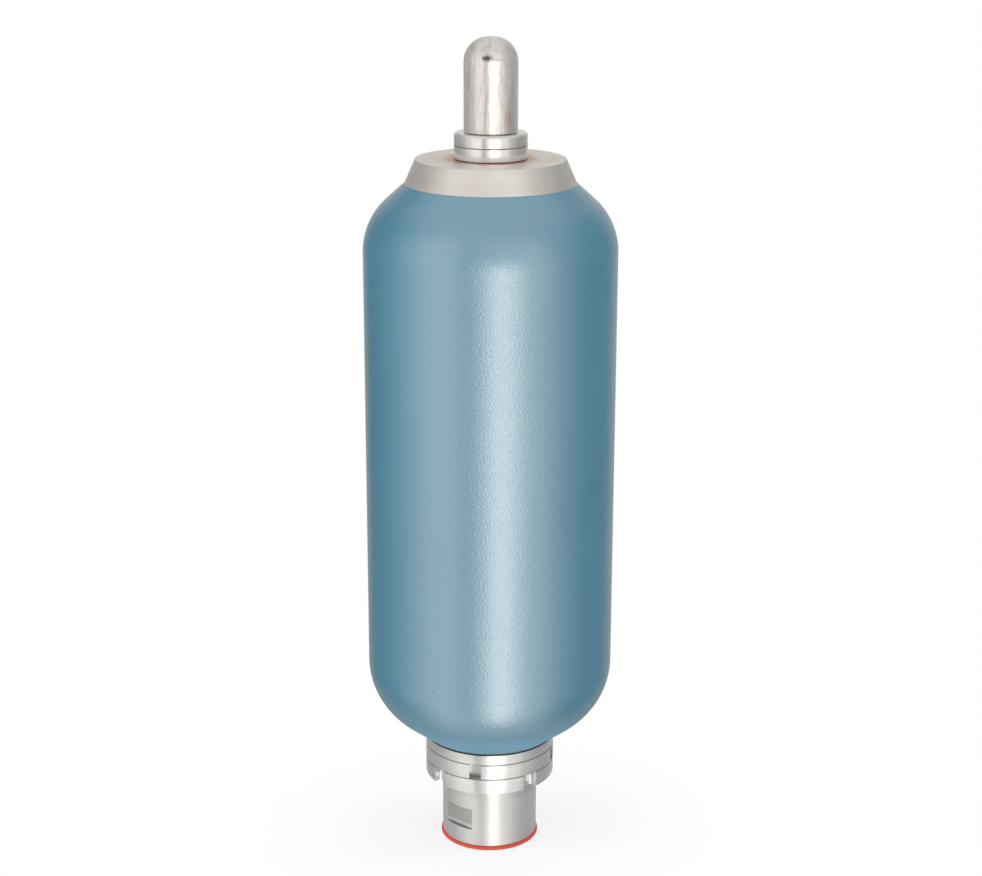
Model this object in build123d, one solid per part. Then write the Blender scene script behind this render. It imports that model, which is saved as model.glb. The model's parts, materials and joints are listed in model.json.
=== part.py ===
from build123d import *
import math
import os

# Bladder accumulator, 4 to 6 litre class, standing on its fluid port.
# Millimetres, +Z up along the turned axis. The origin is the centre of the transit plug's underside.
# Bearings are degrees round the axis from the front (-Y), positive towards +X.

# Vessel shell, forged in one piece with both necks
shell_radius = 84.15
shell_wall = 6.5
barrel_length = 286.7
upper_shoulder_radius = 45.2
upper_shoulder_angle = 48.0
lower_shoulder_radius = 51.0
lower_shoulder_angle = 52.0
lower_neck_overhang = 0.2
lower_neck_thickness = 12.5
upper_neck_thickness = 13.2
neck_cone_base_radius = 56.4
neck_cone_draw = 6.95
neck_cone_height = 15.9

# Fluid side, outside the shell
port_tube_radius = 33.1
port_tube_exposed = 46.0
ring_width = 11.7
spacer_height = 8.1
slotted_nut_height = 10.8
lock_nut_height = 10.8
ring_edge = 0.45
spacer_spigot_height = 3.0
slot_count = 4
slot_width = 8.3
slot_depth = 5.5
slot_bearing = -13.0
notch_count = 4
notch_width = 11.0
notch_depth = 6.0
notch_corner = 2.5
notch_bearing = -51.0
flat_cut = 2.1
flat_height = 15.5
flat_above_port_face = 12.0
flat_bearing = -42.0
port_edge = 0.8

# Fluid side, inside the shell
port_thread_bore = 19.48
port_thread_depth = 25.0
passage_step = 0.98
web_thickness = 12.0
web_above_port_face = 45.5
hub_wall = 1.9
web_arm_width = 6.0
web_arm_count = 4
chamber_step = 5.5
port_flange_height = 10.0
port_flange_edge = 2.0
seat_depth = 5.0
seal_space = 5.9
split_ring_overlap = 9.0
split_ring_height = 9.0
split_ring_skin = 1.5
split_ring_slit = 0.8
washer_height = 2.0
backup_ring_height = 2.0

# Poppet valve
poppet_lift = 12.0
poppet_stem_radius = 6.0
poppet_rim = 2.0
poppet_crown = 3.5
bushing_wall = 2.0
poppet_wire_radius = 1.2
poppet_coil_turns = 6
piston_overhang = 0.5
piston_height = 6.0
stop_nut_wall = 2.5
stop_nut_height = 8.0
stem_tail = 2.0
stem_bevel = 1.0

# Transit plug, moulded
plug_lip = 1.1
plug_flange_height = 2.5
plug_flange_edge = 1.1
plug_spigot_height = 11.5
plug_wall = 3.0

# Gas side
gas_stem_radius = 14.0
collar_width = 10.1
collar_ring_height = 9.1
collar_nut_height = 8.0
collar_nut_edge = 1.2
collar_ring_edge = 0.7
gas_stem_above_collar = 17.5
gas_stem_bore = 4.0
stem_foot_width = 10.0
stem_foot_height = 5.0
stem_flat_cut = 2.0
stem_flat_height = 6.0
insert_radius = 8.0
insert_engagement = 14.0
insert_recess = 2.0
insert_hex_wall = 0.5
insert_hex_height = 7.0
nipple_wall = 2.35
nipple_height = 20.0
insert_seal_section = 1.8
pin_radius = 0.8
pin_collar_width = 0.7
pin_collar_height = 1.0
pin_disc_height = 2.0
pin_above_core = 1.5
core_wall = 0.8
core_length = 18.0
core_web = 2.0
core_seat_overlap = 0.7
core_wire_radius = 0.2
core_coil_length = 9.0
core_coil_turns = 5
seal_cap_wall = 2.9
seal_cap_top = 3.5
seal_cap_edge = 1.0

# Protective cap
cap_thread_wall = 3.6
cap_height = 60.6
cap_flat = 1.9
cap_wall = 2.4
cap_thread_length = 10.0
cap_gap = 0.5

# Bladder, as moulded and uncharged
bladder_gap = 7.65
bladder_crown_radius = 24.0
bladder_wall = 2.5
bladder_bead_wall = 2.0
bladder_bead_height = 3.2
bladder_base_flat = 10.0
bladder_poppet_gap = 6.0

# Named clearances
slip = 0.05
running = 0.06
thread_gap = 0.1
squeeze_gap = 0.25
loose = 0.3

# Radii that follow from the pieces they fit
inner_radius = shell_radius - shell_wall
upper_shoulder_centre = shell_radius - upper_shoulder_radius
lower_shoulder_centre = shell_radius - lower_shoulder_radius
inner_upper_shoulder = upper_shoulder_radius - shell_wall
inner_lower_shoulder = lower_shoulder_radius - shell_wall
ring_radius = port_tube_radius + ring_width
lower_neck_edge_radius = ring_radius + lower_neck_overhang
lower_neck_bore = port_tube_radius + seal_space
port_flange_radius = lower_neck_bore - 2 * loose
split_ring_radius = lower_neck_bore + split_ring_overlap
passage_radius = port_thread_bore - passage_step
chamber_radius = passage_radius + chamber_step
seat_radius = chamber_radius + seat_depth
o_ring_section = seal_space - 2 * squeeze_gap
bushing_radius = poppet_stem_radius + running + bushing_wall
hub_radius = bushing_radius + slip + hub_wall
poppet_coil_radius = poppet_stem_radius + 2 * loose + poppet_wire_radius
piston_radius = hub_radius + piston_overhang
plug_flange_radius = port_tube_radius + plug_lip
neck_cone_top_radius = neck_cone_base_radius - neck_cone_draw
upper_neck_bore = gas_stem_radius + loose
collar_radius = gas_stem_radius + collar_width
stem_foot_radius = gas_stem_radius + stem_foot_width
bladder_bead_radius = stem_foot_radius + bladder_bead_wall
core_chamber_radius = pin_radius + pin_collar_width + loose
core_coil_radius = pin_radius + loose / 2 + core_wire_radius
core_radius = core_chamber_radius + core_wall
pin_disc_radius = core_radius - core_seat_overlap
nipple_radius = core_radius + slip + nipple_wall
seal_cap_radius = nipple_radius + thread_gap + seal_cap_wall
cap_radius = gas_stem_radius + thread_gap + cap_thread_wall
cap_corner = cap_radius - cap_flat
bladder_radius = inner_radius - bladder_gap
bladder_shoulder = bladder_radius - bladder_crown_radius
bladder_base_radius = bladder_radius - bladder_base_flat


def slope_rise(radius, centre, angle, reach):
    """Height above a shoulder's centre at which its straight slope comes in to a radius."""
    turn = math.radians(angle)
    return radius * math.sin(turn) + (centre + radius * math.cos(turn) - reach) / math.tan(turn)


def slope_reach(radius, centre, angle, rise):
    """Radius that a shoulder's straight slope has at a height above its centre."""
    turn = math.radians(angle)
    return centre + radius * math.cos(turn) - (rise - radius * math.sin(turn)) * math.tan(turn)


# Heights that follow from the stack, from the floor up
port_face = plug_flange_height
lock_nut_bottom = port_face + port_tube_exposed
slotted_nut_bottom = lock_nut_bottom + lock_nut_height
spacer_bottom = slotted_nut_bottom + slotted_nut_height
lower_neck_face = spacer_bottom + spacer_height
barrel_bottom = lower_neck_face + slope_rise(
    lower_shoulder_radius, lower_shoulder_centre, lower_shoulder_angle, lower_neck_edge_radius)
barrel_top = barrel_bottom + barrel_length
cone_base = barrel_top + slope_rise(
    upper_shoulder_radius, upper_shoulder_centre, upper_shoulder_angle, neck_cone_base_radius)
neck_top = cone_base + neck_cone_height
gas_seat = neck_top - upper_neck_thickness
split_ring_bottom = lower_neck_face + lower_neck_thickness
port_flange_bottom = split_ring_bottom + split_ring_height
port_flange_top = port_flange_bottom + port_flange_height
web_bottom = port_face + web_above_port_face
web_top = web_bottom + web_thickness
poppet_head_bottom = port_flange_top - seat_depth + poppet_lift
poppet_rim_bottom = port_flange_top + poppet_lift
poppet_head_top = poppet_rim_bottom + poppet_rim
poppet_stem_bottom = web_bottom - piston_height - stop_nut_height - stem_tail
collar_nut_bottom = neck_top + collar_ring_height
collar_top = collar_nut_bottom + collar_nut_height
stem_top = collar_top + gas_stem_above_collar
stem_foot_top = gas_seat - bladder_bead_height
stem_foot_bottom = stem_foot_top - stem_foot_height
insert_bottom = stem_top - insert_engagement
nipple_bottom = stem_top + insert_hex_height
nipple_top = stem_top + nipple_height
core_top = stem_top + core_length
pin_collar_bottom = stem_top + core_web + core_coil_length
cap_bottom = collar_top + cap_gap
cap_top = cap_bottom + cap_height


def turned(outline):
    """Turn a closed outline of (radius, height) points about the axis."""
    return revolve(Plane.XZ * make_face(Polyline(*outline, close=True)), Axis.Z)


def turned_edges(*edges):
    """Turn a closed outline made of lines and arcs about the axis."""
    return revolve(Plane.XZ * make_face(Curve() + list(edges)), Axis.Z)


def ring(inner, outer, bottom, top, edge=0.0):
    """Turned ring with both outer corners bevelled."""
    if edge == 0.0:
        return turned([(inner, bottom), (outer, bottom), (outer, top), (inner, top)])
    return turned([
        (inner, bottom),
        (outer - edge, bottom),
        (outer, bottom + edge),
        (outer, top - edge),
        (outer - edge, top),
        (inner, top),
    ])


def seal_ring(section, centre_radius, centre_height):
    """Rubber ring of round section."""
    place = Plane.XZ * Pos(centre_radius, centre_height)
    return revolve(place * Circle(section / 2), Axis.Z)


def hexagon(across, bottom, height):
    """Hexagonal prism by its width across flats."""
    return Pos(0, 0, bottom) * extrude(RegularPolygon(across / 2, 6, major_radius=False), height)


def at_bearing(bearing, shape):
    """Swing a shape that lies on +X round to a bearing from the front."""
    return Rot(0, 0, bearing - 90) * shape


def coil(coil_radius, wire_radius, bottom, top, turns):
    """Round-wire compression spring between two faces."""
    rise = top - bottom - 2 * wire_radius - 2 * slip
    path = Helix(pitch=rise / turns, height=rise, radius=coil_radius)
    section = Plane(origin=path @ 0, z_dir=path % 0) * Circle(wire_radius)
    return Pos(0, 0, bottom + wire_radius + slip) * sweep(section, path=path, is_frenet=True)


def arc_height(radius, centre, radial):
    """Height of an arc above its centre at a distance from the axis."""
    return math.sqrt(radius ** 2 - (radial - centre) ** 2)


def on_arc(radius, centre, angle):
    """Outline point of an arc, by its angle above the level of the centre."""
    turn = math.radians(angle)
    return (centre[0] + radius * math.cos(turn), centre[1] + radius * math.sin(turn))


def arc_between(radius, centre, start, end):
    """Arc about a centre from one outline point to another, the short way."""
    first = math.degrees(math.atan2(start[1] - centre[1], start[0] - centre[0]))
    last = math.degrees(math.atan2(end[1] - centre[1], end[0] - centre[0]))
    return CenterArc(centre, radius, first, last - first)


def make_shell():
    """Forged vessel: barrel, rounded shoulders that run out in straight slopes, and two machined necks."""
    low = (lower_shoulder_centre, barrel_bottom)
    high = (upper_shoulder_centre, barrel_top)
    outer_low = (lower_neck_edge_radius, lower_neck_face)
    slope_low = on_arc(lower_shoulder_radius, low, -lower_shoulder_angle)
    barrel_low = (shell_radius, barrel_bottom)
    barrel_high = (shell_radius, barrel_top)
    slope_high = on_arc(upper_shoulder_radius, high, upper_shoulder_angle)
    cone_low = (neck_cone_base_radius, cone_base)
    cone_high = (neck_cone_top_radius, neck_top)
    bore_high = (upper_neck_bore, neck_top)
    bore_seat = (upper_neck_bore, gas_seat)
    seat_edge = (slope_reach(inner_upper_shoulder, upper_shoulder_centre, upper_shoulder_angle,
                             gas_seat - barrel_top), gas_seat)
    inner_slope_high = on_arc(inner_upper_shoulder, high, upper_shoulder_angle)
    inner_high = (inner_radius, barrel_top)
    inner_low = (inner_radius, barrel_bottom)
    inner_slope_low = on_arc(inner_lower_shoulder, low, -lower_shoulder_angle)
    ring_seat_edge = (slope_reach(inner_lower_shoulder, lower_shoulder_centre, lower_shoulder_angle,
                                  barrel_bottom - split_ring_bottom), split_ring_bottom)
    neck_high = (lower_neck_bore, split_ring_bottom)
    neck_low = (lower_neck_bore, lower_neck_face)
    return turned_edges(
        Line(neck_low, outer_low),
        Line(outer_low, slope_low),
        arc_between(lower_shoulder_radius, low, slope_low, barrel_low),
        Line(barrel_low, barrel_high),
        arc_between(upper_shoulder_radius, high, barrel_high, slope_high),
        Line(slope_high, cone_low),
        Line(cone_low, cone_high),
        Line(cone_high, bore_high),
        Line(bore_high, bore_seat),
        Line(bore_seat, seat_edge),
        Line(seat_edge, inner_slope_high),
        arc_between(inner_upper_shoulder, high, inner_slope_high, inner_high),
        Line(inner_high, inner_low),
        arc_between(inner_lower_shoulder, low, inner_low, inner_slope_low),
        Line(inner_slope_low, ring_seat_edge),
        Line(ring_seat_edge, neck_high),
        Line(neck_high, neck_low),
    )


def make_spacer_ring():
    """Distance ring whose spigot enters the neck and holds the seals up."""
    body = ring(port_tube_radius + slip, ring_radius, spacer_bottom, lower_neck_face, ring_edge)
    spigot = ring(port_tube_radius + slip, lower_neck_bore - slip, lower_neck_face - ring_edge,
                  lower_neck_face + spacer_spigot_height)
    return body + spigot


def make_slotted_nut():
    """Round nut with straight slots for a hook spanner."""
    nut = ring(port_tube_radius + thread_gap, ring_radius, slotted_nut_bottom, spacer_bottom, ring_edge)
    middle = (slotted_nut_bottom + spacer_bottom) / 2
    cutter = Pos(ring_radius, 0, middle) * Box(2 * slot_depth, slot_width, 2 * slotted_nut_height)
    for index in range(slot_count):
        nut -= at_bearing(slot_bearing + index * 360 / slot_count, cutter)
    return nut


def make_lock_nut():
    """Second round nut, with wider notches that have rounded roots."""
    nut = ring(port_tube_radius + thread_gap, ring_radius, lock_nut_bottom, slotted_nut_bottom, ring_edge)
    outline = Pos(ring_radius, 0) * RectangleRounded(2 * notch_depth, notch_width, notch_corner)
    cutter = Pos(0, 0, lock_nut_bottom - notch_depth) * extrude(outline, lock_nut_height + 2 * notch_depth)
    for index in range(notch_count):
        nut -= at_bearing(notch_bearing + index * 360 / notch_count, cutter)
    return nut


def make_port_body():
    """Fluid port body: threaded port, spider web for the valve stem, chamber and conical seat."""
    body = turned([
        (port_thread_bore, port_face),
        (port_tube_radius - port_edge, port_face),
        (port_tube_radius, port_face + port_edge),
        (port_tube_radius, port_flange_bottom),
        (port_flange_radius, port_flange_bottom),
        (port_flange_radius, port_flange_top - port_flange_edge),
        (port_flange_radius - port_flange_edge, port_flange_top),
        (seat_radius, port_flange_top),
        (chamber_radius, port_flange_top - seat_depth),
        (chamber_radius, web_top),
        (passage_radius, web_top),
        (passage_radius, port_face + port_thread_depth),
        (port_thread_bore, port_face + port_thread_depth),
    ])
    body += ring(bushing_radius + slip, hub_radius, web_bottom, web_top)
    body += make_web_arms()
    cutter = Box(2 * flat_cut, 2 * port_tube_radius, flat_height)
    flat_middle = port_face + flat_above_port_face + flat_height / 2
    cutter = Pos(port_tube_radius, 0, flat_middle) * cutter
    for side in (0, 180):
        body -= at_bearing(flat_bearing + side, cutter)
    return body


def make_web_arms():
    """Arms that carry the hub inside the passage."""
    span = ring(hub_radius - hub_wall / 2, passage_radius + hub_wall / 2, web_bottom, web_top)
    bar = Pos(passage_radius, 0, (web_bottom + web_top) / 2) * Box(
        2 * passage_radius, web_arm_width, web_thickness)
    arms = Part()
    for index in range(web_arm_count):
        arms += at_bearing(flat_bearing + index * 360 / web_arm_count, bar)
    return arms & span


def make_guide_bushing():
    """Plain bearing in the web's hub."""
    return ring(poppet_stem_radius + running, bushing_radius, web_bottom, web_top)


def make_poppet():
    """Mushroom valve, held open by its spring."""
    return turned([
        (0, poppet_stem_bottom),
        (poppet_stem_radius - stem_bevel, poppet_stem_bottom),
        (poppet_stem_radius, poppet_stem_bottom + stem_bevel),
        (poppet_stem_radius, poppet_head_bottom),
        (chamber_radius, poppet_head_bottom),
        (seat_radius, poppet_rim_bottom),
        (seat_radius, poppet_head_top),
        (seat_radius - poppet_crown, poppet_head_top + poppet_crown / 2),
        (0, poppet_head_top + poppet_crown),
    ])


def make_poppet_spring():
    """Spring between the web's hub and the poppet's head."""
    return coil(poppet_coil_radius, poppet_wire_radius, web_top, poppet_head_bottom, poppet_coil_turns)


def make_damping_piston():
    """Disc under the web that stops and damps the poppet."""
    return ring(poppet_stem_radius + slip, piston_radius, web_bottom - piston_height, web_bottom, ring_edge)


def make_stop_nut():
    """Hexagon nut that holds the damping piston on the stem."""
    bottom = web_bottom - piston_height - stop_nut_height
    nut = hexagon(2 * (poppet_stem_radius + stop_nut_wall), bottom, stop_nut_height)
    return nut - ring(0, poppet_stem_radius + slip, bottom, bottom + stop_nut_height)


def make_split_ring_halves():
    """Two steel half rings inside the rubber of the anti-extrusion ring."""
    inner = port_tube_radius + thread_gap + split_ring_skin
    outer = split_ring_radius - split_ring_skin
    bottom = split_ring_bottom + split_ring_skin
    top = port_flange_bottom - split_ring_skin
    whole = ring(inner, outer, bottom, top)
    slit = Box(2 * split_ring_radius, split_ring_slit, 2 * split_ring_height)
    return whole - Pos(0, 0, (bottom + top) / 2) * slit


def make_split_ring_cover():
    """Rubber moulded round the two half rings, which hinges so that it folds through the neck."""
    inner = port_tube_radius + thread_gap
    cover = ring(inner, split_ring_radius, split_ring_bottom, port_flange_bottom, ring_edge)
    skin = split_ring_skin - slip
    pocket = ring(inner + skin, split_ring_radius - skin, split_ring_bottom + skin, port_flange_bottom - skin)
    hinge = Box(2 * split_ring_radius, split_ring_slit - 2 * slip, 2 * split_ring_height)
    return cover - (pocket - Pos(0, 0, port_flange_bottom) * hinge)


def make_washer():
    """Steel washer above the seal, in the neck."""
    return ring(port_tube_radius + thread_gap, lower_neck_bore - thread_gap,
                split_ring_bottom - washer_height, split_ring_bottom)


def make_port_seal():
    """Main seal between the port body and the neck."""
    seal_middle = (port_tube_radius + lower_neck_bore) / 2
    seal_top = split_ring_bottom - washer_height
    return seal_ring(o_ring_section, seal_middle, seal_top - o_ring_section / 2 - slip)


def make_backup_ring():
    """Plastic ring that backs the main seal, on the spacer's spigot."""
    bottom = lower_neck_face + spacer_spigot_height
    return ring(port_tube_radius + slip, lower_neck_bore - slip, bottom, bottom + backup_ring_height)


def make_transit_plug():
    """Push-in dust plug with a full-face flange and a hollow spigot."""
    spigot = port_thread_bore - loose
    plug = turned([
        (0, plug_flange_height + plug_spigot_height),
        (spigot - plug_flange_edge, plug_flange_height + plug_spigot_height),
        (spigot, plug_flange_height + plug_spigot_height - plug_flange_edge),
        (spigot, plug_flange_height),
        (plug_flange_radius, plug_flange_height),
        (plug_flange_radius, 0),
        (spigot - plug_wall, 0),
        (spigot - plug_wall, plug_flange_height + plug_spigot_height - plug_wall),
        (0, plug_flange_height + plug_spigot_height - plug_wall),
    ])
    rim = plug.edges().filter_by(GeomType.CIRCLE).filter_by(
        lambda edge: abs(edge.radius - plug_flange_radius) < slip)
    return fillet(rim, plug_flange_edge)


def make_collar_ring():
    """Plain lower ring of the gas-side collar."""
    return ring(gas_stem_radius + slip, collar_radius, neck_top, collar_nut_bottom, collar_ring_edge)


def make_collar_nut():
    """Upper ring of the collar, the nut that clamps the gas stem, with a bevelled top."""
    return turned([
        (gas_stem_radius + thread_gap, collar_nut_bottom),
        (collar_radius - ring_edge, collar_nut_bottom),
        (collar_radius, collar_nut_bottom + ring_edge),
        (collar_radius, collar_top - collar_nut_edge),
        (collar_radius - collar_nut_edge, collar_top),
        (gas_stem_radius + thread_gap, collar_top),
    ])


def make_gas_stem():
    """Gas stem, moulded into the bladder at its foot and clamped by the collar."""
    socket = insert_radius + thread_gap
    socket_bottom = insert_bottom - insert_recess
    stem = turned([
        (gas_stem_bore, stem_foot_bottom),
        (stem_foot_radius, stem_foot_bottom),
        (stem_foot_radius, stem_foot_top),
        (gas_stem_radius, stem_foot_top),
        (gas_stem_radius, stem_top - stem_bevel),
        (gas_stem_radius - stem_bevel, stem_top),
        (socket, stem_top),
        (socket, socket_bottom),
        (gas_stem_bore, socket_bottom),
    ])
    cutter = Pos(gas_stem_radius, 0, stem_top - stem_flat_height / 2) * Box(
        2 * stem_flat_cut, 2 * gas_stem_radius, stem_flat_height)
    for side in (0, 180):
        stem -= at_bearing(side, cutter)
    return stem


def make_gas_valve_insert():
    """Charging valve body screwed into the stem, with a hexagon and a nipple."""
    groove_low = insert_bottom + insert_seal_section
    groove_high = groove_low + insert_seal_section + 2 * slip
    groove_radius = insert_radius + thread_gap - insert_seal_section - slip
    passage = pin_disc_radius + loose
    core_bore = core_radius + slip
    insert = turned([
        (passage, insert_bottom),
        (insert_radius, insert_bottom),
        (insert_radius, groove_low),
        (groove_radius, groove_low),
        (groove_radius, groove_high),
        (insert_radius, groove_high),
        (insert_radius, nipple_bottom),
        (nipple_radius, nipple_bottom),
        (nipple_radius, nipple_top),
        (core_bore, nipple_top),
        (core_bore, stem_top),
        (passage, stem_top),
    ])
    head = hexagon(2 * (insert_radius + insert_hex_wall), stem_top, insert_hex_height)
    return insert + (head - ring(0, insert_radius - insert_hex_wall, stem_top, nipple_bottom))


def make_insert_seal():
    """Rubber ring in the insert's groove."""
    centre = insert_bottom + 1.5 * insert_seal_section + slip
    radius = insert_radius + thread_gap - slip / 2 - insert_seal_section / 2
    return seal_ring(insert_seal_section - slip, radius, centre)


def make_valve_core():
    """Body of the replaceable valve core."""
    stem_hole = pin_radius + thread_gap
    return turned([
        (stem_hole, stem_top),
        (core_radius, stem_top),
        (core_radius, core_top),
        (core_chamber_radius, core_top),
        (core_chamber_radius, stem_top + core_web),
        (stem_hole, stem_top + core_web),
    ])


def make_valve_pin():
    """Valve core's pin: pressing its top end lowers the disc off its seat."""
    collar = pin_radius + pin_collar_width
    return turned([
        (0, stem_top - pin_disc_height),
        (pin_disc_radius, stem_top - pin_disc_height),
        (pin_disc_radius, stem_top),
        (pin_radius, stem_top),
        (pin_radius, pin_collar_bottom),
        (collar, pin_collar_bottom),
        (collar, pin_collar_bottom + pin_collar_height),
        (pin_radius, pin_collar_bottom + pin_collar_height),
        (pin_radius, core_top + pin_above_core),
        (0, core_top + pin_above_core),
    ])


def make_valve_core_spring():
    """Spring that holds the pin's disc up on its seat."""
    return coil(core_coil_radius, core_wire_radius, stem_top + core_web, pin_collar_bottom, core_coil_turns)


def make_valve_seal_cap():
    """Small closed cap screwed on the nipple."""
    top = nipple_top + seal_cap_top
    inside = nipple_top + loose
    return turned([
        (nipple_radius + thread_gap, nipple_bottom),
        (seal_cap_radius - seal_cap_edge, nipple_bottom),
        (seal_cap_radius, nipple_bottom + seal_cap_edge),
        (seal_cap_radius, top - seal_cap_edge),
        (seal_cap_radius - seal_cap_edge, top),
        (0, top),
        (0, inside),
        (nipple_radius + thread_gap, inside),
    ])


def make_protective_cap():
    """Domed steel cap over the gas valve, threaded at its mouth."""
    bore = cap_radius - cap_wall
    thread = gas_stem_radius + thread_gap
    thread_top = cap_bottom + cap_thread_length
    dome = (cap_flat, cap_top - cap_corner)
    outer_side = (cap_radius, cap_top - cap_corner)
    inner_side = (bore, cap_top - cap_corner)
    outer_crown = (cap_flat, cap_top)
    inner_crown = (cap_flat, cap_top - cap_wall)
    mouth_edge = (cap_radius, cap_bottom + ring_edge)
    mouth_face = (cap_radius - ring_edge, cap_bottom)
    return turned_edges(
        Line((thread, cap_bottom), mouth_face),
        Line(mouth_face, mouth_edge),
        Line(mouth_edge, outer_side),
        arc_between(cap_corner, dome, outer_side, outer_crown),
        Line(outer_crown, (0, cap_top)),
        Line((0, cap_top), (0, cap_top - cap_wall)),
        Line((0, cap_top - cap_wall), inner_crown),
        arc_between(cap_corner - cap_wall, dome, inner_crown, inner_side),
        Line(inner_side, (bore, thread_top)),
        Line((bore, thread_top), (thread, thread_top)),
        Line((thread, thread_top), (thread, cap_bottom)),
    )


def make_bladder():
    """Moulded rubber bag, bonded round the foot of the gas stem."""
    inner_shoulder_radius = bladder_shoulder - bladder_wall
    shoulder_middle = bladder_radius - bladder_shoulder
    base_middle = bladder_radius - bladder_base_radius
    inner_top = stem_foot_bottom - bladder_wall
    side_top = inner_top - inner_shoulder_radius
    base = poppet_head_top + poppet_crown + bladder_poppet_gap
    side_bottom = base + bladder_base_radius
    shoulder = (shoulder_middle, side_top)
    dish = (base_middle, side_bottom)
    bead_low = (bladder_bead_radius,
                side_top + arc_height(bladder_shoulder, shoulder_middle, bladder_bead_radius))
    bead_high = (bladder_bead_radius, gas_seat)
    outer_high = (bladder_radius, side_top)
    outer_low = (bladder_radius, side_bottom)
    inner_high = (bladder_radius - bladder_wall, side_top)
    inner_low = (bladder_radius - bladder_wall, side_bottom)
    mouth = gas_stem_bore + bladder_wall
    return turned_edges(
        Line((gas_stem_radius + slip, gas_seat), bead_high),
        Line(bead_high, bead_low),
        arc_between(bladder_shoulder, shoulder, bead_low, outer_high),
        Line(outer_high, outer_low),
        arc_between(bladder_base_radius, dish, outer_low, (base_middle, base)),
        Line((base_middle, base), (0, base)),
        Line((0, base), (0, base + bladder_wall)),
        Line((0, base + bladder_wall), (base_middle, base + bladder_wall)),
        arc_between(bladder_base_radius - bladder_wall, dish, (base_middle, base + bladder_wall), inner_low),
        Line(inner_low, inner_high),
        arc_between(inner_shoulder_radius, shoulder, inner_high, (shoulder_middle, inner_top)),
        Line((shoulder_middle, inner_top), (mouth, inner_top)),
        Line((mouth, inner_top), (mouth, stem_foot_bottom)),
        Line((mouth, stem_foot_bottom), (stem_foot_radius, stem_foot_bottom)),
        Line((stem_foot_radius, stem_foot_bottom), (stem_foot_radius, stem_foot_top)),
        Line((stem_foot_radius, stem_foot_top), (gas_stem_radius + slip, stem_foot_top)),
        Line((gas_stem_radius + slip, stem_foot_top), (gas_stem_radius + slip, gas_seat)),
    )


pieces = {
    "shell": make_shell,
    "bladder": make_bladder,
    "gas_stem": make_gas_stem,
    "collar_ring": make_collar_ring,
    "collar_nut": make_collar_nut,
    "gas_valve_insert": make_gas_valve_insert,
    "insert_seal": make_insert_seal,
    "valve_core": make_valve_core,
    "valve_pin": make_valve_pin,
    "valve_core_spring": make_valve_core_spring,
    "valve_seal_cap": make_valve_seal_cap,
    "protective_cap": make_protective_cap,
    "port_body": make_port_body,
    "guide_bushing": make_guide_bushing,
    "poppet": make_poppet,
    "poppet_spring": make_poppet_spring,
    "damping_piston": make_damping_piston,
    "stop_nut": make_stop_nut,
    "split_ring_halves": make_split_ring_halves,
    "split_ring_cover": make_split_ring_cover,
    "seal_washer": make_washer,
    "port_seal": make_port_seal,
    "backup_ring": make_backup_ring,
    "spacer_ring": make_spacer_ring,
    "slotted_nut": make_slotted_nut,
    "lock_nut": make_lock_nut,
    "transit_plug": make_transit_plug,
}

os.makedirs("parts", exist_ok=True)
for name, make in pieces.items():
    export_step(make(), f"parts/{name}.step")
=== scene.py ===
# Bladder accumulator: turned pieces, ring nuts, painted shell and studio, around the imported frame.
# Metres throughout. The object stands on its red transit plug, with the camera in front (-Y).
import json
import math

import bmesh
import bpy
from mathutils import Euler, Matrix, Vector


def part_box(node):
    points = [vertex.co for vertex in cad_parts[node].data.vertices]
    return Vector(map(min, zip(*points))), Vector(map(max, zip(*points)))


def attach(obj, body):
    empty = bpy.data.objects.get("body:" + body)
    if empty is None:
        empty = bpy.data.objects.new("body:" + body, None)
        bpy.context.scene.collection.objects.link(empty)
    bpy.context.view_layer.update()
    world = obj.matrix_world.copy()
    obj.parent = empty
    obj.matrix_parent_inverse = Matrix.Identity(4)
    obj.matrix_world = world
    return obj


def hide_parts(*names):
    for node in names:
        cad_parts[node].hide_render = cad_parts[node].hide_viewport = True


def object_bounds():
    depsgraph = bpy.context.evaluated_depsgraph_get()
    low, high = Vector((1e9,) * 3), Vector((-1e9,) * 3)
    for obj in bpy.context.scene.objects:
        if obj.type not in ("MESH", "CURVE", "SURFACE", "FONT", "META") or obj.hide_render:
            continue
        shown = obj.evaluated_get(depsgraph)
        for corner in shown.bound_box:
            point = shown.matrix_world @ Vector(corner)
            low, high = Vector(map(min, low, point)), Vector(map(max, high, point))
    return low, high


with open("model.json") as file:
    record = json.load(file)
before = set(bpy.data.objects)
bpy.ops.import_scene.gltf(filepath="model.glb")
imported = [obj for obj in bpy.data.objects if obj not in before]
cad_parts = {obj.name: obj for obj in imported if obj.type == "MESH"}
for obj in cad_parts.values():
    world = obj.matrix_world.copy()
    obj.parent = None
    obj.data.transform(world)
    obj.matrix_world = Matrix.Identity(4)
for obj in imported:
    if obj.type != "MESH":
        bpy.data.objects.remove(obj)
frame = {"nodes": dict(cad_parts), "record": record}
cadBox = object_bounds()
body = "accumulator"
mm = 0.001


# Measuring the frame

def lowOf(node):
    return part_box(node)[0].z


def highOf(node):
    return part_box(node)[1].z


def reachOf(node):
    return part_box(node)[1].x


# Camera and studio

cameraSetup = {
    "distance": 1.3203,
    "height": 0.6803,
    "pitch": 16.40,
    "aimRight": 0.023,
    "roll": 0.12,
    "lens": 74.53,
    "sensor": 36.0,
    "nearest": 0.01,
}

studio = {
    "floorSize": 14.0,
    "floorColour": (0.93, 0.93, 0.925, 1.0),
    "floorRoughness": 0.9,
    "floorGloss": 0.1,
    "floorFade": (0.035, 0.19),
    "shadowDepth": 0.30,
    "white": (1.0, 1.0, 1.0, 1.0),
    "fill": 0.98,
    "keyBearing": -72.0,
    "keyRise": 26.0,
    "keyDistance": 1.7,
    "keySize": 0.9,
    "keyPower": 10.0,
    "sideBearing": 92.0,
    "sideRise": 30.0,
    "sideDistance": 1.9,
    "sideSize": 0.8,
    "sidePower": 10.0,
}

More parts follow.
